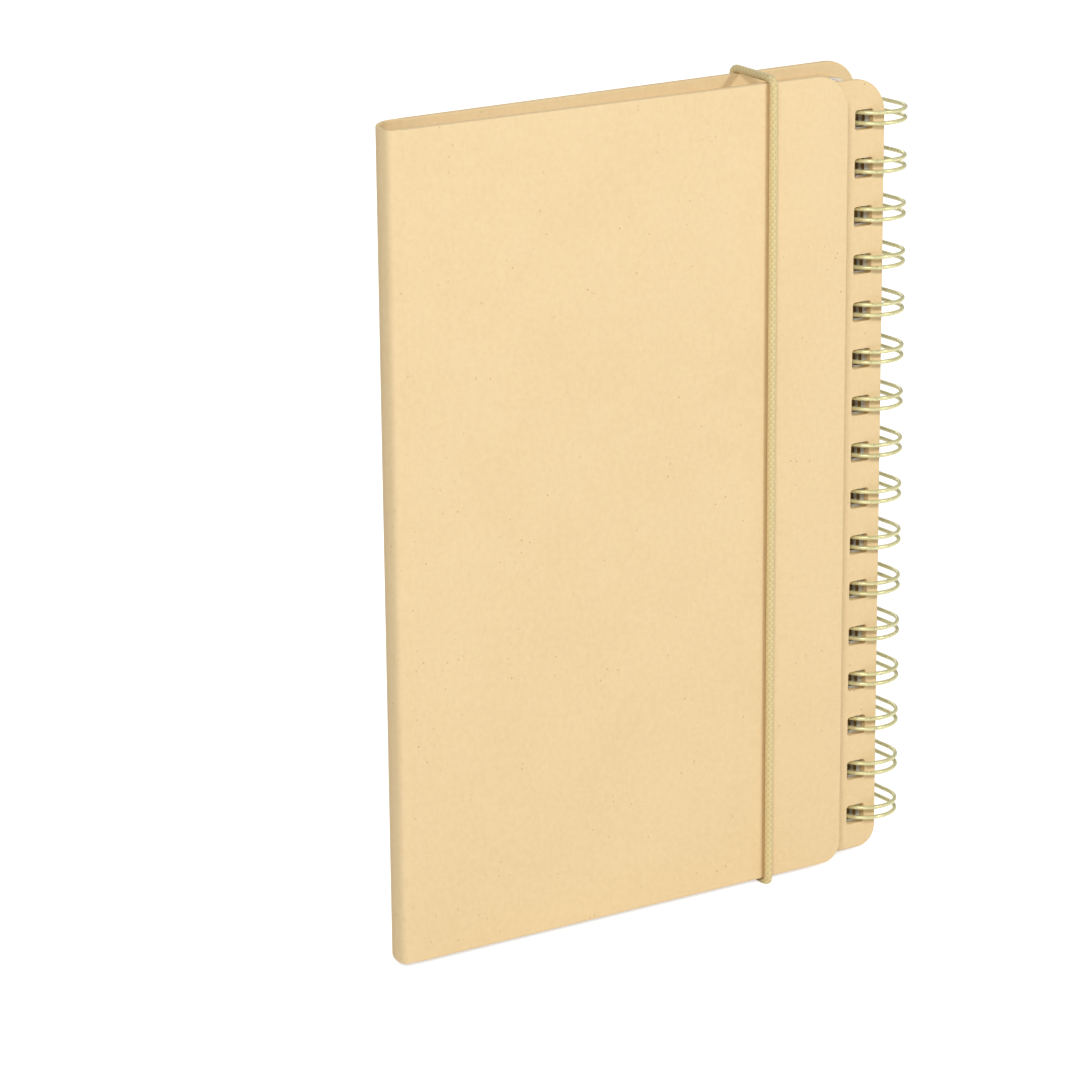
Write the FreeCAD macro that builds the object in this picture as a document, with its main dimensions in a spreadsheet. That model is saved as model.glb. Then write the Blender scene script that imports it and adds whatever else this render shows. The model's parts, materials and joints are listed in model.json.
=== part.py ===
import FreeCAD
import Part
import math
import os

from FreeCAD import Placement, Rotation, Vector

# A twin-loop bound notebook with kraft board covers, standing closed on its lower edge.
# The loops are on the right, the wrapped spine is on the left. All sizes are in millimetres.
#
# Two frames are used. The back frame has x from the back crease towards the loops, y towards
# the back with 0 on the back cover's outer face, and z up from the covers' lower edge.
# The front frame starts at the front crease and leans with the front cover: u runs along the
# cover and v goes inwards with 0 on its outer face.

# Driving dimensions
sizes = {
    "cover_height": 214.0,
    "board_thick": 2.2,
    "board_round": 0.5,
    "corner_top": 9.5,
    "corner_low": 5.5,
    "liner_thick": 0.25,
    "liner_inset": 3.0,
    "front_lean": 2.06,
    "spine_overhang": 7.1,
    "spine_thick": 1.0,
    "spine_bulge": 2.6,
    "gutter_width": 3.2,
    "gutter_sink": 0.5,
    "gutter_thick": 0.8,
    "hinge_gap": 0.55,
    "moving_gap": 0.3,
    "page_thick": 6.4,
    "page_inset": 4.1,
    "page_spine_gap": 7.0,
    "page_corner": 6.0,
    "divider_thick": 0.4,
    "divider_inset": 4.1,
    "divider_spine_gap": 5.0,
    "flap_width": 83.5,
    "flap_thick": 1.7,
    "flap_top_gap": 3.05,
    "stack_gap": 0.1,
    "loop_count": 16,
    "loop_pitch": 12.7,
    "lowest_loop": 9.8,
    "hole_row": 136.8,
    "hole_width": 5.8,
    "hole_height": 5.3,
    "hole_corner": 0.8,
    "edge_margin": 6.7,
    "front_edge_gap": 5.9,
    "wire_diameter": 1.1,
    "wire_spacing": 2.8,
    "wire_bend": 1.2,
    "ring_width": 17.6,
    "ring_depth": 23.6,
    "ring_play": 1.1,
    "ring_reach_behind": 6.5,
    "wire_lift": 0.6,
    "elastic_diameter": 2.6,
    "elastic_pressed": 1.4,
    "elastic_place": 103.6,
    "elastic_slant": 2.1,
    "elastic_hole_inset": 10.0,
    "elastic_bend": 2.0,
    "elastic_back_gap": 0.1,
    "pad_thick": 2.2,
    "pad_width": 48.0,
    "pad_edge_gap": 6.0,
    "pad_end_gap": 7.0,
    "long_pad_height": 70.0,
    "short_pad_height": 48.0,
    "flag_height": 12.0,
    "flag_gap": 3.0,
    "pad_to_flag_gap": 10.0,
}

# The seam of each loop lies behind the back cover, at these angles round the ring's rear end
SEAM_ANGLE = 120.0
TIP_ANGLE = 140.0

doc = FreeCAD.newDocument("spiral_notebook")
sheet = doc.addObject("Spreadsheet::Sheet", "Sizes")


def write_cells(values, first_row):
    """Write each value beside its name and give the cell that name."""
    for row, (name, value) in enumerate(values.items(), first_row):
        sheet.set(f"A{row}", name)
        sheet.set(f"B{row}", str(value))
        sheet.setAlias(f"B{row}", name)


def size(name):
    return float(sizes[name])


# The front cover leans out from the front crease, pushed up by what is stuck inside it.
# The crease's depth follows from the stack at the flap's free edge.
lean = math.radians(size("front_lean"))
wire_radius = size("wire_diameter") / 2
cord_radius = size("elastic_diameter") / 2
liner_face = size("board_thick") + size("liner_thick")
pad_face = liner_face + size("pad_thick")
flap_face = pad_face + size("moving_gap")
flap_back = flap_face + size("flap_thick")
flap_inside = flap_back + size("liner_thick")
page_back = liner_face + size("divider_thick")
page_front = page_back + size("page_thick")
bound_edge = size("hole_row") + size("edge_margin")


def along_front(x, v):
    """The u at which the layer at depth v of the leaning cover reaches the given x."""
    return (x + size("spine_overhang") - v * math.sin(lean)) / math.cos(lean)


flap_hole = along_front(size("hole_row"), (flap_face + flap_back) / 2)
flap_edge = flap_hole + size("edge_margin")
flap_free = flap_edge - size("flap_width")
spine_depth = (page_front + size("stack_gap") + flap_inside * math.cos(lean)
               - flap_free * math.sin(lean))
front_edge_x = size("hole_row") - size("hole_width") / 2 - size("front_edge_gap")
front_width = along_front(front_edge_x, 0)


def front_point(u, v):
    """A point of the leaning front frame, in the back frame."""
    return (-size("spine_overhang") + u * math.cos(lean) + v * math.sin(lean),
            -spine_depth - u * math.sin(lean) + v * math.cos(lean))


# The spine strip's middle layer is an arc from one hinge line to the other
hinge_sink = size("gutter_sink") + size("gutter_thick") / 2
back_hinge = (0.0, -hinge_sink)
front_hinge = front_point(0, hinge_sink)
chord_x = back_hinge[0] - front_hinge[0]
chord_y = back_hinge[1] - front_hinge[1]
half_chord = math.hypot(chord_x, chord_y) / 2
bulge = size("spine_bulge")
arc_radius = (half_chord ** 2 + bulge ** 2) / (2 * bulge)
outward = math.atan2(chord_x, -chord_y)
arc_offset = arc_radius - bulge
arc_x = (back_hinge[0] + front_hinge[0]) / 2 - arc_offset * math.cos(outward)
arc_y = (back_hinge[1] + front_hinge[1]) / 2 - arc_offset * math.sin(outward)
half_sweep = math.asin(half_chord / arc_radius) - size("hinge_gap") / arc_radius
spine_outer = arc_radius + size("spine_thick") / 2

# The rings: two half circles joined by straight sides, holding every bound layer
ring_end = size("ring_width") / 2
ring_half_depth = size("ring_depth") / 2
ring_side = ring_half_depth - ring_end
ring_x = size("hole_row") - size("hole_width") / 2 + size("ring_play") + ring_end
ring_y = size("ring_reach_behind") - ring_half_depth

# The elastic's four runs, as centre lines
cord_clear = size("moving_gap") + cord_radius
cover_face_y = front_point(along_front(size("elastic_place"), 0), 0)[1]
cord_front = cover_face_y - cord_clear / math.cos(lean) - cord_radius * math.tan(lean)
cord_back = size("elastic_back_gap") + cord_radius
cord_top = size("cover_height") + cord_clear
cord_low = -cord_clear

# The origin is at the middle of the lowest face of the box round everything
left = arc_x - spine_outer
right = ring_x + ring_end + wire_radius
front = min(cord_front - cord_radius, ring_y - ring_half_depth - wire_radius)
rear = max(cord_back + cord_radius, ring_y + ring_half_depth + wire_radius)

derived = {
    "origin_x": -(left + right) / 2,
    "origin_y": -(front + rear) / 2,
    "origin_z": size("elastic_pressed"),
    "flap_hole": flap_hole,
    "flap_free": flap_free,
    "front_width": front_width,
    "bound_edge": bound_edge,
    "spine_outer": spine_outer,
    "spine_sweep": math.degrees(2 * half_sweep),
}

write_cells(sizes, 1)
write_cells(derived, len(sizes) + 2)
doc.recompute()

origin = Vector(derived["origin_x"], derived["origin_y"], derived["origin_z"])
BACK_FRAME = Placement(origin, Rotation())
FRONT_FRAME = Placement(
    origin + Vector(-size("spine_overhang"), -spine_depth, 0),
    Rotation(Vector(0, 0, 1), -size("front_lean")),
)

parts = []


def bind(thing, links):
    """Tie properties to expressions in which a bare name is a cell of the sheet."""
    names = sorted(list(sizes) + list(derived), key=len, reverse=True)
    for prop, text in links.items():
        words = text.replace("(", " ( ").replace(")", " ) ").split()
        tied = ["Sizes." + word if word in names else word for word in words]
        thing.setExpression(prop, " ".join(tied))


def new_body(label, frame):
    body = doc.addObject("PartDesign::Body", label)
    body.Label = label
    body.Placement = frame
    parts.append(body)
    return body


def plane_of(body, role):
    for feature in body.Origin.OriginFeatures:
        if feature.Role == role:
            return feature
    raise RuntimeError("no plane " + role)


def new_sketch(body, name, place):
    """A sketch standing in the body's XZ plane, at place = (x, z, depth) expressions."""
    sketch = body.newObject("Sketcher::SketchObject", name)
    sketch.AttachmentSupport = [(plane_of(body, "XZ_Plane"), "")]
    sketch.MapMode = "FlatFace"
    bind(sketch, {
        "AttachmentOffset.Base.x": place[0],
        "AttachmentOffset.Base.y": place[1],
        "AttachmentOffset.Base.z": f"- ( {place[2]} )",
    })
    return sketch


def rounded_outline(sketch, width, height, corners):
    """A rectangle from the sketch's origin; corners names the radius of each corner or None.

    The corners go round from the lower left one, the way the hands of a clock don't.
    """
    import Sketcher
    wide, tall, start_radius = 40.0, 60.0, 2.0
    points = [(0, 0), (wide, 0), (wide, tall), (0, tall)]
    turns = [(1, 1), (-1, 1), (-1, -1), (1, -1)]
    begin, end = [], []
    for (x, y), (sx, sy), corner, index in zip(points, turns, corners, range(4)):
        step = start_radius if corner else 0
        along_x = (x + sx * step, y)
        along_y = (x, y + sy * step)
        begin.append(along_x if index % 2 == 0 else along_y)
        end.append(along_y if index % 2 == 0 else along_x)
    sides = []
    for index in range(4):
        following = (index + 1) % 4
        a = Vector(*begin[index], 0)
        b = Vector(*end[following], 0)
        sides.append(sketch.addGeometry(Part.LineSegment(a, b), False))
    for index in range(4):
        kind = "Horizontal" if index % 2 == 0 else "Vertical"
        sketch.addConstraint(Sketcher.Constraint(kind, sides[index]))
    for index, corner in enumerate(corners):
        before = sides[index - 1]
        after = sides[index]
        if corner is None:
            sketch.addConstraint(Sketcher.Constraint("Coincident", before, 2, after, 1))
            continue
        x, y = points[index]
        sx, sy = turns[index]
        centre = Vector(x + sx * start_radius, y + sy * start_radius, 0)
        from_angle = math.pi + index * math.pi / 2
        circle = Part.Circle(centre, Vector(0, 0, 1), start_radius)
        arc = sketch.addGeometry(Part.ArcOfCircle(circle, from_angle, from_angle + math.pi / 2), False)
        sketch.addConstraint(Sketcher.Constraint("Tangent", before, 2, arc, 1))
        sketch.addConstraint(Sketcher.Constraint("Tangent", arc, 2, after, 1))
        number = sketch.addConstraint(Sketcher.Constraint("Radius", arc, start_radius))
        sketch.renameConstraint(number, f"corner_{index}")
        bind(sketch, {f"Constraints.corner_{index}": corner})
    sketch.addConstraint(Sketcher.Constraint("PointOnObject", sides[0], 1, -1))
    sketch.addConstraint(Sketcher.Constraint("PointOnObject", sides[3], 1, -2))
    number = sketch.addConstraint(
        Sketcher.Constraint("Distance", sides[3], 1, sides[1], wide))
    sketch.renameConstraint(number, "width")
    number = sketch.addConstraint(
        Sketcher.Constraint("Distance", sides[0], 1, sides[2], tall))
    sketch.renameConstraint(number, "height")
    bind(sketch, {"Constraints.width": width, "Constraints.height": height})


def add_plate(body, name, place, width, height, thick, corners):
    """Pad a rounded rectangle inwards from the given depth."""
    sketch = new_sketch(body, name + "_outline", place)
    rounded_outline(sketch, width, height, corners)
    pad = body.newObject("PartDesign::Pad", name)
    pad.Profile = sketch
    pad.Reversed = True
    bind(pad, {"Length": thick})
    doc.recompute()
    return pad


def round_edges(body, pad, radius):
    """Round the long edges of a plate's two faces, as paper wraps round a board."""
    box = pad.Shape.BoundBox
    names = []
    for number, edge in enumerate(pad.Shape.Edges, 1):
        span = edge.BoundBox
        if span.YLength < 1e-6 and span.DiagonalLength < box.DiagonalLength:
            names.append(f"Edge{number}")
    fillet = body.newObject("PartDesign::Fillet", body.Name + "_round")
    fillet.Base = (pad, names)
    bind(fillet, {"Radius": radius})
    doc.recompute()
    return fillet


def punch_holes(body, row):
    """Cut the row of square holes for the loops, centred on the given x."""
    place = (f"{row} - hole_width / 2", "lowest_loop - hole_height / 2", "0")
    sketch = new_sketch(body, body.Name + "_hole", place)
    rounded_outline(sketch, "hole_width", "hole_height", ["hole_corner"] * 4)
    pocket = body.newObject("PartDesign::Pocket", body.Name + "_punch")
    pocket.Profile = sketch
    pocket.Type = 1
    pocket.Midplane = True
    doc.recompute()
    pattern = body.newObject("PartDesign::LinearPattern", body.Name + "_punches")
    pattern.Originals = [pocket]
    pattern.Direction = (sketch, ["V_Axis"])
    bind(pattern, {"Length": "( loop_count - 1 ) * loop_pitch", "Occurrences": "loop_count"})
    body.Tip = pattern
    doc.recompute()


SQUARE_SPINE_SIDE = [None, "corner_low", "corner_top", None]


# Covers: wrapped boards with a thin gutter towards the spine
def make_cover(label, frame, depth_sign, width):
    """A board with its gutter. depth_sign is 1 where depth counts inwards along +y."""
    body = new_body(label, frame)
    outer = "0" if depth_sign > 0 else "- board_thick"
    sink = "gutter_sink" if depth_sign > 0 else "- gutter_sink - gutter_thick"
    board = add_plate(body, label + "_board", ("gutter_width", "0", outer),
                      f"{width} - gutter_width", "cover_height", "board_thick", SQUARE_SPINE_SIDE)
    round_edges(body, board, "board_round")
    add_plate(body, label + "_gutter", ("hinge_gap", "0", sink),
              "gutter_width - hinge_gap + board_round", "cover_height", "gutter_thick", [None] * 4)
    return body


def make_back_cover():
    body = make_cover("back_cover", BACK_FRAME, -1, "bound_edge")
    punch_holes(body, "hole_row")
    import Sketcher
    sketch = new_sketch(body, "elastic_holes_outline", ("elastic_place + elastic_slant", "0", "0"))
    for index, (name, height) in enumerate((
            ("low", "elastic_hole_inset"),
            ("high", "cover_height - elastic_hole_inset"))):
        centre = Vector(0, 20.0 + 100.0 * index, 0)
        circle = sketch.addGeometry(Part.Circle(centre, Vector(0, 0, 1), 1.0), False)
        sketch.addConstraint(Sketcher.Constraint("PointOnObject", circle, 3, -2))
        number = sketch.addConstraint(Sketcher.Constraint("Diameter", circle, 2.0))
        sketch.renameConstraint(number, name + "_bore")
        number = sketch.addConstraint(Sketcher.Constraint("DistanceY", -1, 1, circle, 3, centre.y))
        sketch.renameConstraint(number, name + "_place")
        bind(sketch, {f"Constraints.{name}_bore": "elastic_diameter + 2 * stack_gap",
                      f"Constraints.{name}_place": height})
    pocket = body.newObject("PartDesign::Pocket", "elastic_holes")
    pocket.Profile = sketch
    pocket.Type = 1
    pocket.Midplane = True
    doc.recompute()


def make_liners():
    """Thin papers glued inside the boards, set in from their edges."""
    inset_height = "cover_height - 2 * liner_inset"
    back = new_body("back_cover_liner", BACK_FRAME)
    add_plate(back, "back_liner_sheet",
              ("gutter_width + liner_inset", "liner_inset", "- board_thick - liner_thick"),
              "bound_edge - gutter_width - 2 * liner_inset", inset_height,
              "liner_thick", SQUARE_SPINE_SIDE)
    punch_holes(back, "hole_row")
    lining = new_body("front_cover_liner", FRONT_FRAME)
    add_plate(lining, "front_liner_sheet",
              ("gutter_width + liner_inset", "liner_inset", "board_thick"),
              "front_width - gutter_width - 2 * liner_inset", inset_height,
              "liner_thick", SQUARE_SPINE_SIDE)


# The spine strip: a curved band between the two hinge lines
def make_spine():
    band = doc.addObject("Part::Cylinder", "spine_band")
    bind(band, {"Radius": "spine_outer", "Height": "cover_height", "Angle": "spine_sweep"})
    hollow = doc.addObject("Part::Cylinder", "spine_hollow")
    bind(hollow, {"Radius": "spine_outer - spine_thick", "Height": "cover_height"})
    strip = doc.addObject("Part::Cut", "spine_strip")
    strip.Base = band
    strip.Tool = hollow
    strip.Label = "spine_strip"
    start = math.degrees(outward - half_sweep)
    strip.Placement = Placement(origin + Vector(arc_x, arc_y, 0), Rotation(Vector(0, 0, 1), start))
    parts.append(strip)


# What the loops bind: pages, a clear sheet and a half-width flap
def make_bound_layers():
    divider = new_body("frosted_divider", BACK_FRAME)
    add_plate(divider, "divider_sheet",
              ("divider_spine_gap", "divider_inset", "- board_thick - liner_thick - divider_thick"),
              "bound_edge - divider_spine_gap", "cover_height - 2 * divider_inset",
              "divider_thick", ["page_corner", "corner_low", "corner_top", "page_corner"])
    punch_holes(divider, "hole_row")
    pages = new_body("page_block", BACK_FRAME)
    add_plate(pages, "page_sheets",
              ("page_spine_gap", "page_inset",
               "- board_thick - liner_thick - divider_thick - page_thick"),
              "bound_edge - page_spine_gap", "cover_height - 2 * page_inset",
              "page_thick", ["page_corner", "corner_low", "corner_top", "page_corner"])
    punch_holes(pages, "hole_row")
    face = "board_thick + liner_thick + pad_thick + moving_gap"
    flap = new_body("inner_flap", FRONT_FRAME)
    board = add_plate(flap, "flap_board", ("flap_free", "0", face), "flap_width",
                      "cover_height - flap_top_gap", "flap_thick",
                      ["corner_low", "corner_low", "corner_top", "corner_top"])
    round_edges(flap, board, "board_round")
    punch_holes(flap, "flap_hole")
    lining = new_body("inner_flap_liner", FRONT_FRAME)
    add_plate(lining, "flap_liner_sheet",
              ("flap_free + liner_inset", "liner_inset", face + " + flap_thick"),
              "flap_width - 2 * liner_inset", "cover_height - flap_top_gap - 2 * liner_inset",
              "liner_thick", ["corner_low", "corner_low", "corner_top", "corner_top"])
    punch_holes(lining, "flap_hole")


# Sticky pads and page flags on the inside of the front cover, in a row from the top down
def make_pads():
    heights = [("sticky_pad_yellow", "long_pad_height", "0"),
               ("sticky_pad_green", "short_pad_height", "stack_gap"),
               ("page_flag_blue", "flag_height", "pad_to_flag_gap"),
               ("page_flag_green", "flag_height", "flag_gap"),
               ("page_flag_yellow", "flag_height", "flag_gap"),
               ("page_flag_pink", "flag_height", "flag_gap"),
               ("page_flag_orange", "flag_height", "flag_gap")]
    used = "cover_height - pad_end_gap"
    for label, height, gap_above in heights:
        used = f"{used} - {gap_above} - {height}"
        block = doc.addObject("Part::Box", label)
        block.Label = label
        bind(block, {"Length": "pad_width", "Width": "pad_thick", "Height": height,
                     "Placement.Base.x": "front_width - pad_edge_gap - pad_width",
                     "Placement.Base.y": "board_thick + liner_thick",
                     "Placement.Base.z": used})
        doc.recompute()
        local = block.Placement
        for prop in ("x", "y", "z"):
            block.setExpression("Placement.Base." + prop, None)
        block.Placement = FRONT_FRAME.multiply(local)
        parts.append(block)


def sweep_round(edges, radius):
    """A round bar along joined edges."""
    path = Part.Wire(edges)
    first = edges[0]
    start = first.valueAt(first.FirstParameter)
    heading = first.tangentAt(first.FirstParameter)
    profile = Part.Wire([Part.makeCircle(radius, start, heading)])
    bar = path.makePipeShell([profile], True, False)
    if bar.Volume < 0:
        bar.reverse()
    expected = math.pi * radius ** 2 * path.Length
    if abs(bar.Volume / expected - 1) > 0.02:
        raise RuntimeError(f"swept volume {bar.Volume:.1f}, expected {expected:.1f}")
    return bar


def line(a, b):
    return Part.makeLine(a, b)


def arc(a, middle, b):
    return Part.Arc(a, middle, b).toShape()


# The binding wire: one wire bent into twin loops that pass through every hole of the row
def ring_point(centre_y, degrees, z):
    angle = math.radians(degrees)
    return Vector(ring_x + ring_end * math.cos(angle), centre_y + ring_end * math.sin(angle), z)


def ring_edges(z):
    """From the seam round the outside, the front, and back up through the holes to the tip."""
    rear_y = ring_y + ring_side
    front_y = ring_y - ring_side
    seam = ring_point(rear_y, SEAM_ANGLE, z)
    tip = ring_point(rear_y, TIP_ANGLE, z)
    right_rear = ring_point(rear_y, 0, z)
    right_front = ring_point(front_y, 0, z)
    left_front = ring_point(front_y, 180, z)
    left_rear = ring_point(rear_y, 180, z)
    return [
        arc(seam, ring_point(rear_y, SEAM_ANGLE / 2, z), right_rear),
        line(right_rear, right_front),
        arc(right_front, ring_point(front_y, -90, z), left_front),
        line(left_front, left_rear),
        arc(left_rear, ring_point(rear_y, (180 + TIP_ANGLE) / 2, z), tip),
    ]


def turned(edges):
    """The same edges, walked the other way."""
    back = []
    for edge in reversed(edges):
        a = edge.valueAt(edge.FirstParameter)
        b = edge.valueAt(edge.LastParameter)
        middle = edge.valueAt((edge.FirstParameter + edge.LastParameter) / 2)
        straight = (a + b).multiply(0.5).distanceToPoint(middle) < 1e-9
        back.append(line(b, a) if straight else arc(b, middle, a))
    return back


def make_binding_wire():
    half = size("wire_spacing") / 2
    bend = size("wire_bend")
    rear_y = ring_y + ring_side
    tip_angle = math.radians(TIP_ANGLE)
    seam_angle = math.radians(SEAM_ANGLE)
    tip_heading = Vector(math.sin(tip_angle), -math.cos(tip_angle), 0)
    seam_heading = Vector(math.sin(seam_angle), -math.cos(seam_angle), 0)
    seam = ring_point(rear_y, SEAM_ANGLE, 0)
    base = seam - seam_heading * bend
    bend_middle = seam - seam_heading * (bend * math.sin(math.pi / 4))
    bend_drop = bend * (1 - math.cos(math.pi / 4))

    def base_at(z):
        return Vector(base.x, base.y, z)

    edges = []
    count = int(size("loop_count"))
    top = size("lowest_loop") + (count - 1) * size("loop_pitch") + size("wire_lift")
    high = top + half + size("loop_pitch") / 4
    for number in range(count):
        centre = top - number * size("loop_pitch")
        upper = centre + half
        lower = centre - half
        edges.append(line(base_at(high), base_at(upper + bend)))
        middle = Vector(bend_middle.x, bend_middle.y, upper + bend_drop)
        edges.append(arc(base_at(upper + bend), middle, Vector(seam.x, seam.y, upper)))
        edges += ring_edges(upper)
        tip = ring_point(rear_y, TIP_ANGLE, centre)
        edges.append(arc(Vector(tip.x, tip.y, upper), tip + tip_heading * half,
                         Vector(tip.x, tip.y, lower)))
        edges += turned(ring_edges(lower))
        middle = Vector(bend_middle.x, bend_middle.y, lower - bend_drop)
        edges.append(arc(Vector(seam.x, seam.y, lower), middle, base_at(lower - bend)))
        high = lower - bend
    edges.append(line(base_at(high), base_at(high - size("loop_pitch") / 4)))
    wire = doc.addObject("Part::Feature", "binding_wire")
    wire.Label = "binding_wire"
    wire.Shape = sweep_round(edges, wire_radius)
    wire.Placement = BACK_FRAME
    parts.append(wire)


# The elastic closure: a round cord held in two holes of the back cover, pressed flat below
def rounded_path(corners, bend):
    """Straight runs from corner to corner, joined by arcs that start one bend from each."""
    edges = []
    here = corners[0]
    for before, corner, after in zip(corners, corners[1:], corners[2:]):
        back = (before - corner).normalize()
        onwards = (after - corner).normalize()
        half_angle = back.getAngle(onwards) / 2
        radius = bend * math.tan(half_angle)
        centre_way = (back + onwards).normalize()
        first = corner + back * bend
        last = corner + onwards * bend
        middle = corner + centre_way * (bend / math.cos(half_angle) - radius)
        edges.append(line(here, first))
        edges.append(arc(first, middle, last))
        here = last
    edges.append(line(here, corners[-1]))
    return edges


def make_elastic():
    place = size("elastic_place")
    slant = size("elastic_slant")
    low_hole = size("elastic_hole_inset")
    high_hole = size("cover_height") - size("elastic_hole_inset")
    inside = -size("board_thick")
    corners = [
        Vector(place + slant, inside, high_hole),
        Vector(place + slant, cord_back, high_hole),
        Vector(place + slant, cord_back, cord_top),
        Vector(place, cord_front, cord_top),
        Vector(place, cord_front, cord_low),
        Vector(place + slant, cord_back, cord_low),
        Vector(place + slant, cord_back, low_hole),
        Vector(place + slant, inside, low_hole),
    ]
    edges = rounded_path(corners, size("elastic_bend"))
    cord = doc.addObject("Part::Feature", "elastic_cord")
    cord.Shape = sweep_round(edges, cord_radius)
    floor = doc.addObject("Part::Box", "elastic_floor")
    reach = 4 * cord_radius
    floor.Length = 2 * reach + slant
    floor.Width = cord_back - cord_front + 2 * reach
    floor.Height = reach
    floor.Placement.Base = Vector(place - reach, cord_front - reach, -size("elastic_pressed") - reach)
    band = doc.addObject("Part::Cut", "elastic_band")
    band.Label = "elastic_band"
    band.Base = cord
    band.Tool = floor
    band.Placement = BACK_FRAME
    parts.append(band)


make_cover("front_cover", FRONT_FRAME, 1, "front_width")
make_back_cover()
make_liners()
make_spine()
make_bound_layers()
make_pads()
make_binding_wire()
make_elastic()
doc.recompute()

for thing in doc.Objects:
    if "Invalid" in thing.State or "Error" in thing.State:
        raise RuntimeError(f"{thing.Label} failed: {thing.State}")
for part in parts:
    if part.Shape.isNull() or not part.Shape.isValid() or len(part.Shape.Solids) != 1:
        raise RuntimeError(f"{part.Label} is not one sound solid")

os.makedirs("parts", exist_ok=True)
for part in parts:
    part.Shape.exportStep(f"parts/{part.Label}.step")
    box = part.Shape.BoundBox
    print(f"{part.Label}: {part.Shape.Volume:.0f} mm3, x {box.XMin:.2f} {box.XMax:.2f}, "
          f"y {box.YMin:.2f} {box.YMax:.2f}, z {box.ZMin:.2f} {box.ZMax:.2f}")

for name, (x, y) in (("back hinge", back_hinge), ("front hinge", front_hinge)):
    print(f"{name} at x {x + origin.x:.4f}, y {y + origin.y:.4f}")
print(f"origin shift {origin.x:.4f} {origin.y:.4f} {origin.z:.4f}, spine depth {spine_depth:.3f}, "
      f"front width {front_width:.3f}, flap hole {flap_hole:.3f}, ring centre {ring_x:.3f} {ring_y:.3f}")
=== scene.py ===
import json
import math

import bmesh
import bpy
from mathutils import Euler, Matrix, Vector


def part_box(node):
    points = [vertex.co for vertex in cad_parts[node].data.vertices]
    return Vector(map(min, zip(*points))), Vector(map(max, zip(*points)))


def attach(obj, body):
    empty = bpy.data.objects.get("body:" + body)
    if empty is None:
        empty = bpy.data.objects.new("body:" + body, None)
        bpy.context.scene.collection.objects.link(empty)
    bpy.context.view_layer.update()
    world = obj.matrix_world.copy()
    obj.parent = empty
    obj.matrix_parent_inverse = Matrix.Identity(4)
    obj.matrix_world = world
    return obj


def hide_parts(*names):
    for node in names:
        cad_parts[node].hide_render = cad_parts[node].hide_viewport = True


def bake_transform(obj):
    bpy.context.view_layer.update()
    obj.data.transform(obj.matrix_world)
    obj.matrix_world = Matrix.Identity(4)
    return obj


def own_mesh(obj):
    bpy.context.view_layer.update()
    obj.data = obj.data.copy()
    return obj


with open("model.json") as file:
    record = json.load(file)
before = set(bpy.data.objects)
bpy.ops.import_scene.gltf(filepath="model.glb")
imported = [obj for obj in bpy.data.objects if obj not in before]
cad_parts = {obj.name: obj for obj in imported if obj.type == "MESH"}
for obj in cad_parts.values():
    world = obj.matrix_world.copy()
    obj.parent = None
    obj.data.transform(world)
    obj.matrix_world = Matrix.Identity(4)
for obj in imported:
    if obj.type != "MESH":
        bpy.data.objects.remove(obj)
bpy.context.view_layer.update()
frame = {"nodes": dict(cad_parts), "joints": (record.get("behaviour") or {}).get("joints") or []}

MM = 0.001

# The camera stands where the photograph was taken from
CAMERA_PLACE = Vector((-603.13, -840.88, 406.71)) * MM
CAMERA_TURN = (73.40, 0.52, -34.28)
CAMERA_LENS = 139.46

# Sizes of the covers, in metres
LEAN = math.radians(2.06)
BOARD = 2.2 * MM
GUTTER_WIDTH = 3.2 * MM
GUTTER_SINK = 0.5 * MM
GUTTER_THICK = 0.8 * MM
SPINE_THICK = 1.0 * MM
SPINE_BULGE = 2.6 * MM
CORNER_TOP = 9.5 * MM
CORNER_LOW = 5.5 * MM
FOLD_REACH = 1.3 * MM
RIM = 0.55 * MM
SEAM_GAP = 2.2 * MM

# Sizes of the binding, in metres
PITCH = 12.7 * MM
LOOPS = 16
WIRE_RADIUS = 0.55 * MM
WIRE_SPACING = 2.8 * MM
WIRE_BEND = 1.2 * MM
RING_WIDTH = 17.6 * MM
RING_DEPTH = 23.6 * MM
SEAM_ANGLE = 120.0
TIP_ANGLE = 140.0
WIRE_LIFT = 0.35 * MM
HOLE_WIDTH = 5.8 * MM
HOLE_HEIGHT = 5.3 * MM
HOLE_CORNER = 0.8 * MM
HOLE_LOW = 9.8 * MM
HOLE_FROM_EDGE = 6.7 * MM

# Sizes of the elastic, in metres
CORD_SOLID = 1.3 * MM
CORD_RADIUS = 1.08 * MM
CORD_LIFT = 0.05 * MM
CORD_BEND = 2.0 * MM
CORD_SLANT = 2.1 * MM
CORD_SETTLE = 0.47 * MM
CORD_HOLE_INSET = 10.0 * MM
CORD_HOLE_PLAY = 0.1 * MM
BRAID_LENGTH = 1.7 * MM
BRAID_STRANDS = 8
BRAID_HEIGHT = 0.13

# Sizes of the pages and pads, in metres
PAD_INSET = 0.15 * MM
PAGE_GROUPS = 4
GROUP_SHEETS = 8
GROUP_GAP = 0.28 * MM
GROUP_SHIFT = 0.15 * MM
BEND_WIDTH = 8.0 * MM
FAN_SHARE = 0.93
CARD_THICK = 0.2 * MM
PAGE_CORNERS = [6.0 * MM, CORNER_LOW, CORNER_TOP, 6.0 * MM]
GRID_LINE = 0.12 * MM
PAD_THICK = 2.2 * MM
PAD_WIDTH = 48.0 * MM
PAD_SHEETS = 22
LINER_FACE = 2.45 * MM

# Strengths of the light that comes from all round
WORLD_LIGHT = 0.42
FLOOR_GLOW = 0.66

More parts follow.
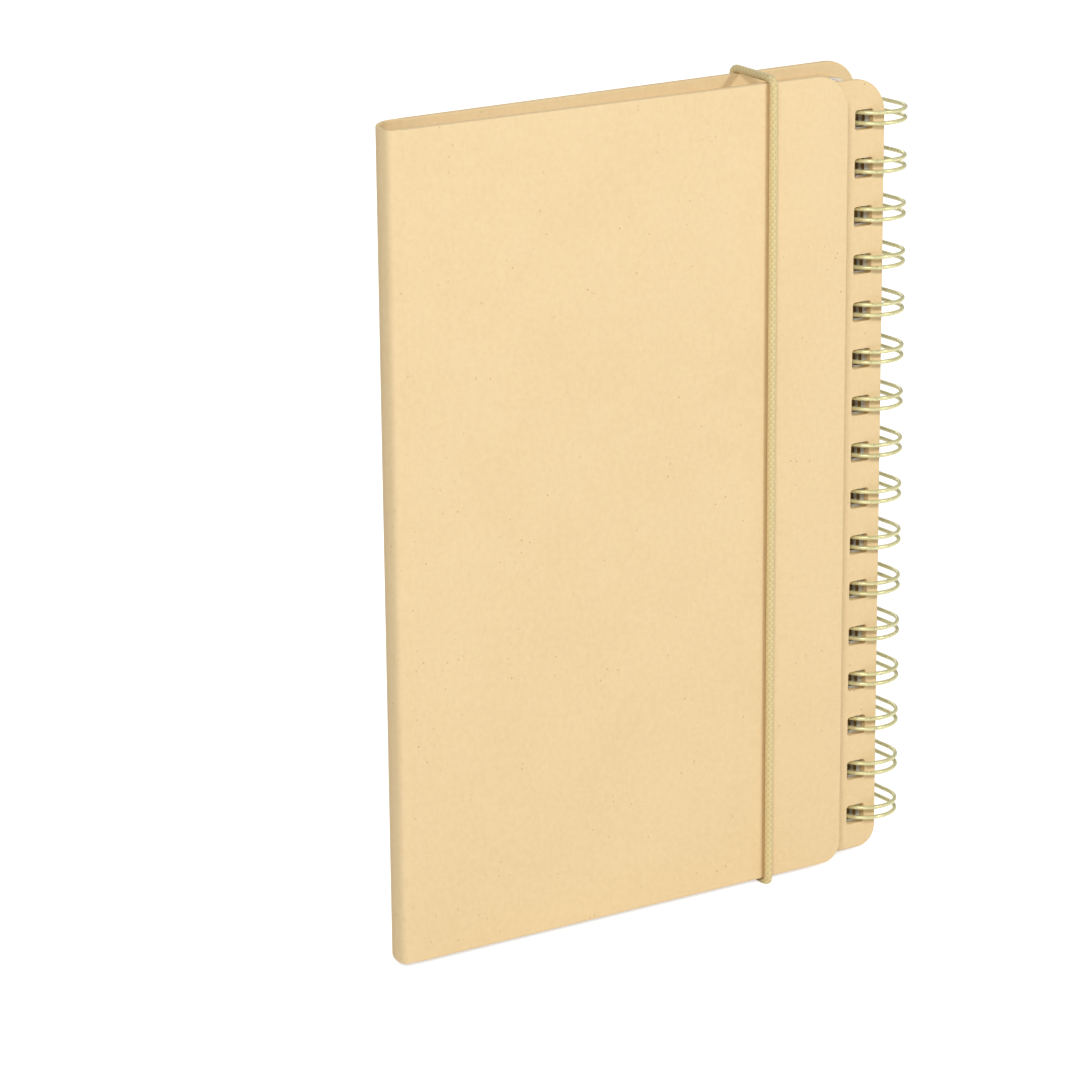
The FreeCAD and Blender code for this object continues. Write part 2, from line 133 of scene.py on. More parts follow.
nodes = frame["nodes"]
joints = {joint["name"]: joint for joint in frame["joints"]}
back_hinge = Vector(joints["spine_hinge"]["pos_m"])
front_hinge = Vector(joints["front_cover_hinge"]["pos_m"])
cover_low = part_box("spine_strip")[0].z
cover_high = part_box("spine_strip")[1].z
along_cover = Vector((math.cos(LEAN), -math.sin(LEAN), 0))
into_cover = Vector((math.sin(LEAN), math.cos(LEAN), 0))
hinge_sink = GUTTER_SINK + GUTTER_THICK / 2


def add_camera():
    data = bpy.data.cameras.new("photo_camera")
    data.sensor_width = 36.0
    data.lens = CAMERA_LENS
    data.clip_start = 0.01
    camera = bpy.data.objects.new("photo_camera", data)
    bpy.context.scene.collection.objects.link(camera)
    camera.location = CAMERA_PLACE
    camera.rotation_euler = Euler([math.radians(a) for a in CAMERA_TURN])
    bpy.context.scene.camera = camera


add_camera()


# Materials
def linear(r, g, b):
    """A colour as it is seen on a screen, 0 to 255, as the shader wants it."""
    def one(value):
        value /= 255
        return value / 12.92 if value <= 0.04045 else ((value + 0.055) / 1.055) ** 2.4
    return (one(r), one(g), one(b), 1.0)


class Finish:
    """A material and short ways to add its nodes."""

    def __init__(self, name, roughness=0.8):
        self.material = bpy.data.materials.new(name)
        self.material.use_nodes = True
        self.tree = self.material.node_tree
        self.shader = self.tree.nodes["Principled BSDF"]
        self.shader.inputs["Roughness"].default_value = roughness
        self.place = self.tree.nodes.new("ShaderNodeTexCoord").outputs["Object"]

    def node(self, kind, inputs=(), **settings):
        made = self.tree.nodes.new(kind)
        for name, value in settings.items():
            setattr(made, name, value)
        for name, value in dict(inputs).items():
            socket = made.inputs[name]
            if isinstance(value, bpy.types.NodeSocket):
                self.tree.links.new(value, socket)
            else:
                socket.default_value = value
        return made

    def noise(self, scale, detail=3.0, stretch=(1, 1, 1), roughness=0.55):
        mapping = self.node("ShaderNodeMapping", {"Vector": self.place, "Scale": stretch})
        return self.node("ShaderNodeTexNoise", {
            "Vector": mapping.outputs["Vector"], "Scale": scale,
            "Detail": detail, "Roughness": roughness}).outputs["Fac"]

    def band(self, value, low, high, to_low=0.0, to_high=1.0):
        """The value, spread from low..high to the new range and held there."""
        return self.node("ShaderNodeMapRange", {
            "Value": value, "From Min": low, "From Max": high,
            "To Min": to_low, "To Max": to_high}).outputs["Result"]

    def math(self, operation, a, b=0.5):
        return self.node("ShaderNodeMath", {0: a, 1: b}, operation=operation).outputs[0]

    def mix(self, factor, a, b, blend="MIX"):
        made = self.node("ShaderNodeMix", {0: factor, 6: a, 7: b}, data_type="RGBA", blend_type=blend)
        return made.outputs[2]

    def colour(self, value):
        if isinstance(value, bpy.types.NodeSocket):
            self.tree.links.new(value, self.shader.inputs["Base Color"])
        else:
            self.shader.inputs["Base Color"].default_value = value

    def bump(self, height, strength, distance):
        made = self.node("ShaderNodeBump", {
            "Height": height, "Strength": strength, "Distance": distance})
        self.tree.links.new(made.outputs["Normal"], self.shader.inputs["Normal"])

    def rough(self, value):
        self.tree.links.new(value, self.shader.inputs["Roughness"])


def kraft(name, pale, deep, fleck, cord_shade_x=None):
    """Kraft paper: faint clouds of pulp, fine fibres lying every way and small flecks.

    Where the elastic lies on a cover, a band of painted shade along the cord's line stands for its contact
    shadow.
    """
    finish = Finish(name, 0.88)
    cloud = finish.noise(40, 3)
    pulp = finish.noise(700, 4)
    mixed = finish.math("ADD", finish.math("MULTIPLY", cloud, 0.35),
                        finish.math("MULTIPLY", pulp, 0.65))
    base = finish.mix(finish.band(mixed, 0.34, 0.66), pale, deep)
    fibres_up = finish.noise(1500, 2, (1.0, 1.0, 0.18))
    fibres_along = finish.noise(1500, 2, (0.18, 1.0, 1.0))
    fibre = finish.math("MAXIMUM", fibres_up, fibres_along)
    lit = finish.mix(finish.band(fibre, 0.62, 0.78, 0, 0.30), base, linear(250, 230, 190))
    grain = finish.mix(finish.band(finish.noise(2600, 2), 0.62, 0.74, 0, 0.16), lit, linear(196, 160, 108))
    spots = finish.node("ShaderNodeTexVoronoi", {"Vector": finish.place, "Scale": 380.0})
    near = finish.band(spots.outputs["Distance"], 0.06, 0.12, 1, 0)
    some = finish.band(finish.noise(90, 1), 0.50, 0.64, 0, 0.5)
    paper = finish.mix(finish.math("MULTIPLY", near, some), grain, fleck)
    # Painted shade: a darker band either side of the cord, standing for its contact shadow on the cover
    if cord_shade_x is not None:
        x = finish.node("ShaderNodeSeparateXYZ", {"Vector": finish.place}).outputs["X"]
        off = finish.math("ABSOLUTE", finish.math("SUBTRACT", x, cord_shade_x))
        painted_cord_shade = finish.band(off, CORD_RADIUS + 0.1 * MM, CORD_RADIUS + 0.4 * MM, 0.4, 0)
        paper = finish.mix(painted_cord_shade, paper, linear(176, 132, 66))
    finish.colour(paper)
    finish.bump(finish.math("ADD", fibre, pulp), 0.16, 0.0001)
    finish.shader.inputs["Specular IOR Level"].default_value = 0.2
    return finish.material


cord_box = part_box("elastic_band")
cord_front_x = cord_box[0].x + CORD_SOLID
cord_back_x = cord_front_x + CORD_SLANT
FLECK = linear(176, 134, 88)
KRAFT = kraft("kraft_paper", linear(245, 219, 172), linear(240, 212, 164), FLECK)
# The front kraft carries the painted shade along the elastic's line
KRAFT_FRONT = kraft("kraft_front", linear(245, 219, 172), linear(240, 212, 164), FLECK, cord_front_x)
KRAFT_INSIDE = kraft("kraft_lining", linear(240, 212, 163), linear(231, 201, 151), FLECK)


def page_finish():
    """Cream sheets: fine lines on the cut edges and a pale planner grid on their front faces."""
    finish = Finish("cream_pages", 0.9)
    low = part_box("page_block")[0]
    paper = finish.mix(finish.noise(600, 3), linear(253, 251, 245), linear(247, 244, 234))
    layers = finish.noise(5200, 1, (0.02, 1.0, 0.02))
    edged = finish.mix(finish.band(layers, 0.42, 0.60, 0, 0.25), paper, linear(206, 198, 180))
    split = finish.node("ShaderNodeSeparateXYZ", {"Vector": finish.place})
    facing = finish.node("ShaderNodeSeparateXYZ", {
        "Vector": finish.node("ShaderNodeTexCoord").outputs["Normal"]}).outputs["Y"]
    flat = finish.math("GREATER_THAN", finish.math("ABSOLUTE", facing), 0.9)
    face = finish.mix(flat, edged, paper)

    def lines(value, start, step, count, thick):
        """1 on evenly spaced lines, and nothing before the first or past the last."""
        along = finish.math("DIVIDE", finish.math("SUBTRACT", value, start), step)
        offset = finish.math("ABSOLUTE", finish.math("SUBTRACT", finish.math("FRACT", finish.math(
            "ADD", along, 0.5)), 0.5))
        on = finish.math("LESS_THAN", offset, thick / step)
        after = finish.math("GREATER_THAN", along, -0.5)
        before = finish.math("LESS_THAN", along, count + 0.5)
        return finish.math("MULTIPLY", on, finish.math("MULTIPLY", after, before))

    def inside(value, a, b):
        return finish.math("MULTIPLY", finish.math("GREATER_THAN", value, a),
                           finish.math("LESS_THAN", value, b))

    x, z = split.outputs["X"], split.outputs["Z"]
    left, right = low.x + 12 * MM, low.x + 112 * MM
    bottom, top = low.z + 14 * MM, low.z + 182 * MM
    columns, rows = 4, 6
    across = finish.math("MULTIPLY", lines(z, bottom, (top - bottom) / rows, rows, GRID_LINE),
                         inside(x, left - GRID_LINE, right + GRID_LINE))
    up = finish.math("MULTIPLY", lines(x, left, (right - left) / columns, columns, GRID_LINE),
                     inside(z, bottom - GRID_LINE, top + GRID_LINE))
    heading = finish.math("MULTIPLY", inside(z, top + 9.8 * MM, top + 10.2 * MM),
                          inside(x, left, right))
    drawn = finish.math("MAXIMUM", finish.math("MAXIMUM", across, up), heading)
    front = finish.math("LESS_THAN", facing, -0.9)
    printed = finish.mix(finish.math("MULTIPLY", finish.math("MULTIPLY", drawn, front), 0.8),
                         face, linear(168, 166, 160))
    finish.colour(printed)
    finish.bump(layers, 0.3, 0.00008)
    return finish.material


def wire_finish():
    """Pale gold lacquer on steel wire."""
    finish = Finish("coated_wire", 0.3)
    tone = finish.noise(260, 3)
    finish.colour(finish.mix(finish.band(tone, 0.35, 0.65), linear(232, 227, 176), linear(216, 209, 156)))
    finish.shader.inputs["Metallic"].default_value = 0.35
    finish.rough(finish.band(finish.noise(900, 3), 0.3, 0.7, 0.24, 0.38))
    finish.bump(finish.noise(2400, 2), 0.06, 0.00003)
    return finish.material


def elastic_finish():
    """Braided cord: strands from the mesh, with painted shade between them, each with fine threads."""
    finish = Finish("braided_elastic", 0.78)
    uv = finish.node("ShaderNodeUVMap", uv_map="cord").outputs["UV"]
    threads = finish.node("ShaderNodeTexWave", {
        "Vector": finish.node("ShaderNodeMapping", {
            "Vector": uv, "Scale": (2600.0, 90.0, 1.0)}).outputs["Vector"],
        "Scale": 1.0, "Distortion": 1.5, "Detail": 2.0}, wave_type="BANDS",
        bands_direction="DIAGONAL").outputs["Fac"]
    fuzz = finish.noise(2600, 3)
    weave = finish.node("ShaderNodeAttribute", attribute_name="weave").outputs["Fac"]
    strand = finish.mix(finish.band(threads, 0.2, 0.8), linear(244, 226, 168), linear(228, 208, 150))
    # Painted shade in the valleys between strands, read from the weave height
    strands_with_painted_shade = finish.mix(finish.band(weave, 0.30, 0.85), linear(216, 192, 132), strand)
    finish.colour(finish.mix(finish.band(fuzz, 0.4, 0.7, 0, 0.25), strands_with_painted_shade, linear(250, 236, 192)))
    finish.bump(finish.math("ADD", threads, fuzz), 0.35, 0.00006)
    finish.shader.inputs["Sheen Weight"].default_value = 0.25
    return finish.material


def frosted_finish():
    """Translucent sheet with a fine pebbled face."""
    finish = Finish("frosted_plastic", 0.42)
    pebble = finish.node("ShaderNodeTexVoronoi", {"Vector": finish.place, "Scale": 1500.0})
    finish.colour(finish.mix(finish.band(finish.noise(300, 3), 0.3, 0.7),
                             linear(247, 247, 243), linear(238, 238, 233)))
    finish.bump(pebble.outputs["Distance"], 0.4, 0.00008)
    finish.shader.inputs["Transmission Weight"].default_value = 0.4
    finish.shader.inputs["IOR"].default_value = 1.49
    return finish.material


def note_paper(name, colour, deep):
    """Tinted paper, a little uneven in colour."""
    finish = Finish(name, 0.85)
    tint = finish.mix(finish.noise(500, 3), linear(*colour), linear(*deep))
    finish.colour(tint)
    finish.bump(finish.noise(1500, 3), 0.15, 0.00005)
    finish.shader.inputs["Specular IOR Level"].default_value = 0.3
    return finish.material


NOTE_COLOURS = {
    "sticky_pad_yellow": ((250, 238, 140), (244, 230, 122)),
    "sticky_pad_green": ((196, 226, 204), (184, 216, 193)),
    "page_flag_blue": ((72, 138, 205), (60, 124, 192)),
    "page_flag_green": ((134, 196, 92), (120, 184, 80)),
    "page_flag_yellow": ((247, 222, 78), (240, 212, 62)),
    "page_flag_pink": ((240, 132, 168), (230, 118, 156)),
    "page_flag_orange": ((247, 152, 66), (240, 138, 52)),
}


def dress(node, material):
    """Give a CAD node its finish, without touching its mesh."""
    target = nodes[node].data.materials
    if len(target):
        target[0] = material
    else:
        target.append(material)


for kraft_node in ("front_cover", "spine_strip", "back_cover", "inner_flap"):
    dress(kraft_node, KRAFT)
for lining_node in ("front_cover_liner", "back_cover_liner", "inner_flap_liner"):
    dress(lining_node, KRAFT_INSIDE)
PAPER = page_finish()
# Dark brown card: its dark tone is painted shade for the gaps between page groups
SHADE_CARD = kraft("shade_card_paper", linear(186, 154, 100), linear(172, 138, 86), linear(124, 92, 54))
dress("frosted_divider", frosted_finish())
WIRE = wire_finish()
ELASTIC = elastic_finish()
dress("binding_wire", WIRE)
dress("elastic_band", ELASTIC)


def add_object(name, mesh, material=None, smooth=True):
    thing = bpy.data.objects.new(name, mesh)
    bpy.context.scene.collection.objects.link(thing)
    if material:
        mesh.materials.clear()
        mesh.materials.append(material)
    if smooth:
        mesh.polygons.foreach_set("use_smooth", [True] * len(mesh.polygons))
    return thing


def smooth_step(value, low, high):
    t = min(1, max(0, (value - low) / (high - low)))
    return t * t * (3 - 2 * t)


# The kraft skin: two wrapped covers that meet beside the back crease
chord = back_hinge - front_hinge
chord.z = 0
half_chord = chord.length / 2
arc_radius = (half_chord ** 2 + SPINE_BULGE ** 2) / (2 * SPINE_BULGE)
outward = Vector((-chord.y, chord.x, 0)).normalized()
middle = (back_hinge + front_hinge) / 2
arc_centre = middle - outward * (arc_radius - SPINE_BULGE)
arc_centre.z = 0


def spine_angle(point):
    return math.atan2(point.y - arc_centre.y, point.x - arc_centre.x) % (2 * math.pi)


back_angle = spine_angle(back_hinge)
front_angle = spine_angle(front_hinge)


def on_spine(distance, hinge, sign):
    """The spine's middle layer at a distance from a hinge; sign is the way round."""
    angle = spine_angle(hinge) + sign * distance / arc_radius
    return arc_centre + Vector((math.cos(angle), math.sin(angle), 0)) * arc_radius


def cover_profile(distance):
    """Outer and inner offsets from the gutter's middle layer, at a distance from the hinge."""
    rise = smooth_step(distance, GUTTER_WIDTH - 0.7 * MM, GUTTER_WIDTH + 0.7 * MM)
    outer = GUTTER_THICK / 2 + GUTTER_SINK * rise
    inner = GUTTER_THICK / 2 + (BOARD - GUTTER_SINK - GUTTER_THICK) * rise
    return outer, inner


def fold_path(hinge, sign, spine_length, cover_direction, cover_length):
    """Points from the spine over the fold to the cover's free edge, with their offsets."""
    turn_from = on_spine(FOLD_REACH, hinge, sign)
    corner = Vector((hinge.x, hinge.y, 0))
    turn_to = corner + cover_direction * FOLD_REACH
    path = []
    steps = max(2, int((spine_length - FOLD_REACH) / (0.5 * MM)))
    for step in range(steps):
        distance = spine_length + (FOLD_REACH - spine_length) * step / steps
        path.append((on_spine(distance, hinge, sign), SPINE_THICK / 2, SPINE_THICK / 2))
    fold_steps = 12
    for step in range(fold_steps):
        t = step / fold_steps
        point = turn_from * (1 - t) ** 2 + corner * (2 * t * (1 - t)) + turn_to * t ** 2
        half = (SPINE_THICK * (1 - t) + GUTTER_THICK * t) / 2
        path.append((point, half, half))
    distance = FOLD_REACH
    while distance < GUTTER_WIDTH + 1.2 * MM:
        outer, inner = cover_profile(distance)
        path.append((corner + cover_direction * distance, outer, inner))
        distance += 0.2 * MM
    outer, inner = cover_profile(cover_length)
    straight_end = cover_length - CORNER_TOP
    steps = 16
    for step in range(steps):
        here = distance + (straight_end - distance) * step / steps
        path.append((corner + cover_direction * here, outer, inner))
    corner_steps = 18
    for step in range(corner_steps + 1):
        angle = math.pi / 2 * step / corner_steps
        here = straight_end + (CORNER_TOP - RIM) * math.sin(angle)
        path.append((corner + cover_direction * here, outer, inner))
    return path


def wrapped_shell(name, path, side_out, material):
    """A closed shell along the path, with a rounded rim; side_out is 1 or -1, its outer side."""
    count = len(path)
    columns = []
    travelled = 0
    total = sum((path[i + 1][0] - path[i][0]).length for i in range(count - 1))
    for index in range(count):
        if index:
            travelled += (path[index][0] - path[index - 1][0]).length
        from_edge = total - travelled + RIM

        def pulled_in(radius):
            inset = radius - RIM
            reach = max(0, min(inset, inset - (from_edge - RIM)))
            return inset - math.sqrt(max(0, inset ** 2 - reach ** 2)), reach / inset

        low_pull, low_slope = pulled_in(CORNER_LOW)
        top_pull, top_slope = pulled_in(CORNER_TOP)
        before = path[max(0, index - 1)][0]
        after = path[min(count - 1, index + 1)][0]
        tangent = (after - before).normalized()
        columns.append((path[index], tangent, cover_low + RIM + low_pull, cover_high - RIM - top_pull,
                        low_slope, top_slope))
    ring_steps = 10
    mesh = bmesh.new()

    def place(column, z, share, out_along, out_up):
        """A point of the rim: share goes from 1 on the outer face to -1 on the inner one."""
        (point, outer, inner), tangent = column[0], column[1]
        normal = Vector((tangent.y, -tangent.x, 0)) * side_out
        depth = (outer - inner) / 2 + (outer + inner) / 2 * share
        spot = point + normal * depth + tangent * out_along
        return mesh.verts.new((spot.x, spot.y, z + out_up))

    rows = 3
    faces = {}
    for side in (1, -1):
        grid = []
        for column in columns:
            grid.append([place(column, column[2] + (column[3] - column[2]) * row / rows, side, 0, 0)
                         for row in range(rows + 1)])
        for a, b in zip(grid, grid[1:]):
            for row in range(rows):
                quad = (a[row], b[row], b[row + 1], a[row + 1])
                mesh.faces.new(quad if side > 0 else quad[::-1])
        faces[side] = grid
    outline = []
    for index in range(count):
        outline.append((index, 0))
    for row in range(1, rows + 1):
        outline.append((count - 1, row))
    for index in range(count - 2, -1, -1):
        outline.append((index, rows))
    for row in range(rows - 1, 0, -1):
        outline.append((0, row))
    rings = [[faces[1][i][r] for i, r in outline]]
    for step in range(1, ring_steps):
        angle = math.pi * step / ring_steps
        share = math.copysign(abs(math.cos(angle)) ** 0.55, math.cos(angle))
        swell = RIM * math.sin(angle) ** 0.55
        ring = []
        for i, r in outline:
            column = columns[i]
            z = column[2] + (column[3] - column[2]) * r / rows
            if r == 0:
                along, up = column[4], -math.sqrt(max(0, 1 - column[4] ** 2))
            elif r == rows:
                along, up = column[5], math.sqrt(max(0, 1 - column[5] ** 2))
            else:
                along, up = (1, 0) if i == count - 1 else (0, 0)
            ring.append(place(column, z, share, along * swell, up * swell))
        rings.append(ring)
    rings.append([faces[-1][i][r] for i, r in outline])
    length = len(outline)
    for a, b in zip(rings, rings[1:]):
        for k in range(length):
            n = (k + 1) % length
            mesh.faces.new((a[k], b[k], b[n], a[n]))
    bmesh.ops.remove_doubles(mesh, verts=mesh.verts, dist=1e-6)
    bmesh.ops.recalc_face_normals(mesh, faces=mesh.faces)
    data = bpy.data.meshes.new(name)
    mesh.to_mesh(data)
    mesh.free()
    return add_object(name, data, material)


spine_length = arc_radius * abs(back_angle - front_angle)
spine_turn = 1 if back_angle < front_angle else -1
front_path = fold_path(front_hinge, -spine_turn, spine_length - SEAM_GAP, along_cover,
                       (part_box("front_cover")[1].x - front_hinge.x) / math.cos(LEAN) - 0.03 * MM)
back_path = fold_path(back_hinge, spine_turn, SEAM_GAP, Vector((1, 0, 0)),
                      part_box("back_cover")[1].x - back_hinge.x)
front_wrap = wrapped_shell("front_cover_wrap", front_path, 1, KRAFT_FRONT)
back_wrap = wrapped_shell("back_cover_wrap", back_path, -1, KRAFT)


def punch(piece, cutters):
    """Cut boxes, each given by its low and high corner, out of a piece; the holes get round corners."""
    mesh = bmesh.new()
    for low, high in cutters:
        centre = (low + high) / 2
        scale = Matrix.Diagonal((high - low).to_4d())
        bmesh.ops.create_cube(mesh, size=1.0, matrix=Matrix.Translation(centre) @ scale)
    upright = [e for e in mesh.edges if abs((e.verts[0].co - e.verts[1].co).normalized().y) > 0.9]
    bmesh.ops.bevel(mesh, geom=upright, offset=HOLE_CORNER, segments=4, affect="EDGES", profile=0.5)
    data = bpy.data.meshes.new("punches")
    mesh.to_mesh(data)
    mesh.free()
    tool = add_object("punches", data, smooth=False)
    cut = piece.modifiers.new("cut", "BOOLEAN")
    cut.object = tool
    cut.operation = "DIFFERENCE"
    cut.solver = "EXACT"
    evaluated = piece.evaluated_get(bpy.context.evaluated_depsgraph_get())
    made = bpy.data.meshes.new_from_object(evaluated)
    piece.modifiers.clear()
    piece.data = made
    bpy.data.objects.remove(tool)
    made.materials.clear()
    made.materials.append(KRAFT)
    made.set_sharp_from_angle(angle=math.radians(40))


hole_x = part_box("back_cover")[1].x - HOLE_FROM_EDGE
back_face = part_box("back_cover")[1].y
cutters = []
for loop in range(LOOPS):
    z = cover_low + HOLE_LOW + loop * PITCH
    half = Vector((HOLE_WIDTH / 2, 0.01, HOLE_HEIGHT / 2))
    spot = Vector((hole_x, back_face, z))
    cutters.append((spot - half, spot + half))
for z in (cover_low + CORD_HOLE_INSET, cover_high - CORD_HOLE_INSET):
    half = Vector((CORD_RADIUS + CORD_HOLE_PLAY, 0.01, CORD_RADIUS + CORD_HOLE_PLAY))
    spot = Vector((cord_back_x, back_face, z))
    cutters.append((spot - half, spot + half))
punch(back_wrap, cutters)

for wrap, hinge, sign, direction, cover_body in (
        (front_wrap, front_hinge, -spine_turn, along_cover, "front_cover"),
        (back_wrap, back_hinge, spine_turn, Vector((1, 0, 0)), "back_cover")):
    if cover_body == "front_cover":
        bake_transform(wrap)
        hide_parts("front_cover", "spine_strip")
    else:
        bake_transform(wrap)
        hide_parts("back_cover")


# The binding wire, one loop repeated along the holes
def arc_points(centre, radius, from_degrees, to_degrees, z, steps):
    points = []
    for step in range(steps + 1):
        angle = math.radians(from_degrees + (to_degrees - from_degrees) * step / steps)
        points.append(Vector((centre.x + radius * math.cos(angle),
                              centre.y + radius * math.sin(angle), z)))
    return points


def loop_route():
    """One twin loop round z 0, from halfway to the loop above to halfway to the one below."""
    low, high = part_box("binding_wire")
    end = RING_WIDTH / 2
    side = RING_DEPTH / 2 - end
    ring_x = high.x - WIRE_RADIUS - end
    ring_y = (low.y + high.y) / 2
    rear = Vector((ring_x, ring_y + side))
    fore = Vector((ring_x, ring_y - side))
    half = WIRE_SPACING / 2

    def ring(z):
        route = arc_points(rear, end, SEAM_ANGLE, 0, z, 20)
        route += arc_points(fore, end, 0, -180, z, 28)
        route += arc_points(rear, end, 180, TIP_ANGLE, z, 8)
        return route

    upper = ring(half)
    lower = ring(-half)[::-1]
    seam = upper[0]
    seam_angle = math.radians(SEAM_ANGLE)
    tip_angle = math.radians(TIP_ANGLE)
    seam_heading = Vector((math.sin(seam_angle), -math.cos(seam_angle), 0))
    tip_heading = Vector((math.sin(tip_angle), -math.cos(tip_angle), 0))
    base = Vector((seam.x, seam.y, 0)) - seam_heading * WIRE_BEND
    bend = []
    for step in range(8):
        angle = math.pi / 2 * step / 8
        bend.append(base + seam_heading * WIRE_BEND * (1 - math.cos(angle))
                    + Vector((0, 0, half + WIRE_BEND * (1 - math.sin(angle)))))
    tip = Vector((upper[-1].x, upper[-1].y, 0))
    tip_turn = []
    for step in range(1, 12):
        angle = math.pi * step / 12
        tip_turn.append(tip + tip_heading * half * math.sin(angle)
                        + Vector((0, 0, half * math.cos(angle))))
    start = base + Vector((0, 0, PITCH / 2))
    down = [Vector((p.x, p.y, -p.z)) for p in reversed([start] + bend)]
    return [start] + bend + upper + tip_turn + lower + down


def wire_tree():
    """Curve in, sixteen joined wire loops out."""
    tree = bpy.data.node_groups.new("twin_loops", "GeometryNodeTree")
    face = tree.interface
    face.new_socket("Geometry", in_out="INPUT", socket_type="NodeSocketGeometry")
    face.new_socket("Wire Radius", in_out="INPUT", socket_type="NodeSocketFloat")
    face.new_socket("Loop Count", in_out="INPUT", socket_type="NodeSocketInt")
    face.new_socket("Loop Pitch", in_out="INPUT", socket_type="NodeSocketFloat")
    face.new_socket("Lowest Loop", in_out="INPUT", socket_type="NodeSocketFloat")
    face.new_socket("Finish", in_out="INPUT", socket_type="NodeSocketMaterial")
    face.new_socket("Geometry", in_out="OUTPUT", socket_type="NodeSocketGeometry")
    add, link = tree.nodes.new, tree.links.new
    given = add("NodeGroupInput")
    result = add("NodeGroupOutput")
    profile = add("GeometryNodeCurvePrimitiveCircle")
    profile.inputs["Resolution"].default_value = 14
    tube = add("GeometryNodeCurveToMesh")
    tube.inputs["Fill Caps"].default_value = True
    row = add("GeometryNodeMeshLine")
    step = add("ShaderNodeCombineXYZ")
    start = add("ShaderNodeCombineXYZ")
    spread = add("GeometryNodeInstanceOnPoints")
    real = add("GeometryNodeRealizeInstances")
    smooth = add("GeometryNodeSetShadeSmooth")
    paint = add("GeometryNodeSetMaterial")
    link(given.outputs["Wire Radius"], profile.inputs["Radius"])
    link(given.outputs["Geometry"], tube.inputs["Curve"])
    link(profile.outputs["Curve"], tube.inputs["Profile Curve"])
    link(given.outputs["Loop Pitch"], step.inputs["Z"])
    link(given.outputs["Lowest Loop"], start.inputs["Z"])
    link(given.outputs["Loop Count"], row.inputs["Count"])
    link(start.outputs["Vector"], row.inputs["Start Location"])
    link(step.outputs["Vector"], row.inputs["Offset"])
    link(row.outputs["Mesh"], spread.inputs["Points"])
    link(tube.outputs["Mesh"], spread.inputs["Instance"])
    link(spread.outputs["Instances"], real.inputs["Geometry"])
    link(real.outputs["Geometry"], smooth.inputs["Geometry"])
    link(smooth.outputs["Geometry"], paint.inputs["Geometry"])
    link(given.outputs["Finish"], paint.inputs["Material"])
    link(paint.outputs["Geometry"], result.inputs["Geometry"])
    return tree


def apply_tree(thing, tree, values, name):
    """Run a tree on an object and return its result as a plain mesh object."""
    modifier = thing.modifiers.new("shape", "NODES")
    modifier.node_group = tree
    for item in tree.interface.items_tree:
        if item.in_out == "INPUT" and item.name in values:
            modifier[item.identifier] = values[item.name]
    evaluated = thing.evaluated_get(bpy.context.evaluated_depsgraph_get())
    mesh = bpy.data.meshes.new_from_object(evaluated)
    thing.modifiers.remove(modifier)
    bpy.data.objects.remove(thing)
    made = bpy.data.objects.new(name, mesh)
    bpy.context.scene.collection.objects.link(made)
    return made


def curve_object(name, points):
    data = bpy.data.curves.new(name, "CURVE")
    data.dimensions = "3D"
    spline = data.splines.new("POLY")
    spline.points.add(len(points) - 1)
    for target, point in zip(spline.points, points):
        target.co = (*point, 1)
    thing = bpy.data.objects.new(name, data)
    bpy.context.scene.collection.objects.link(thing)
    return thing


loops = apply_tree(curve_object("one_loop", loop_route()), wire_tree(), {
    "Wire Radius": WIRE_RADIUS, "Loop Count": LOOPS, "Loop Pitch": PITCH,
    "Lowest Loop": cover_low + HOLE_LOW + WIRE_LIFT, "Finish": WIRE}, "wire_loops")
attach(loops, "back_cover")
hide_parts("binding_wire")


# The elastic: a braided tube along its route, pressed flat where the notebook stands on it
cord_front_y = cord_box[0].y + CORD_SOLID + CORD_SETTLE
cord_back_y = cord_box[1].y - CORD_SOLID - CORD_SETTLE


def elastic_route():
    top_z = cord_box[1].z - CORD_SOLID - CORD_SETTLE
    low_z = cover_low - CORD_LIFT - CORD_RADIUS
    inside_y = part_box("back_cover")[0].y
    high_hole = cover_high - CORD_HOLE_INSET
    low_hole = cover_low + CORD_HOLE_INSET
    corners = [(inside_y, high_hole), (cord_back_y, high_hole), (cord_back_y, top_z),
               (cord_front_y, top_z), (cord_front_y, low_z), (cord_back_y, low_z),
               (cord_back_y, low_hole), (inside_y, low_hole)]
    corners = [Vector((y, z)) for y, z in corners]
    route = [corners[0]]
    for before, corner, after in zip(corners, corners[1:], corners[2:]):
        a = (before - corner).normalized()
        b = (after - corner).normalized()
        centre = corner + (a + b) * CORD_BEND
        for step in range(9):
            angle = math.pi / 2 * step / 8
            route.append(centre - b * CORD_BEND * math.cos(angle) - a * CORD_BEND * math.sin(angle))
    route.append(corners[-1])
    return route


def even_points(route, step):
    """Points evenly along a route, each with its distance from the start."""
    lengths = [(b - a).length for a, b in zip(route, route[1:])]
    total = sum(lengths)
    count = int(total / step)
    result = []
    index, passed = 0, 0.0
    for k in range(count + 1):
        target = total * k / count
        while index < len(lengths) - 1 and passed + lengths[index] < target:
            passed += lengths[index]
            index += 1
        t = min(1, (target - passed) / lengths[index])
        result.append((route[index].lerp(route[index + 1], t), target))
    return result


def braid(distance, angle):
    """The surface's height, 0 to 1: two sets of strands that pass over each other in turn."""
    turn = 2 * math.pi * distance / BRAID_LENGTH
    one = BRAID_STRANDS / 2 * angle + turn
    other = BRAID_STRANDS / 2 * angle - turn
    return max(abs(math.cos(one / 2)) * (0.75 + 0.25 * math.sin(other)),
               abs(math.cos(other / 2)) * (0.75 - 0.25 * math.sin(one)))


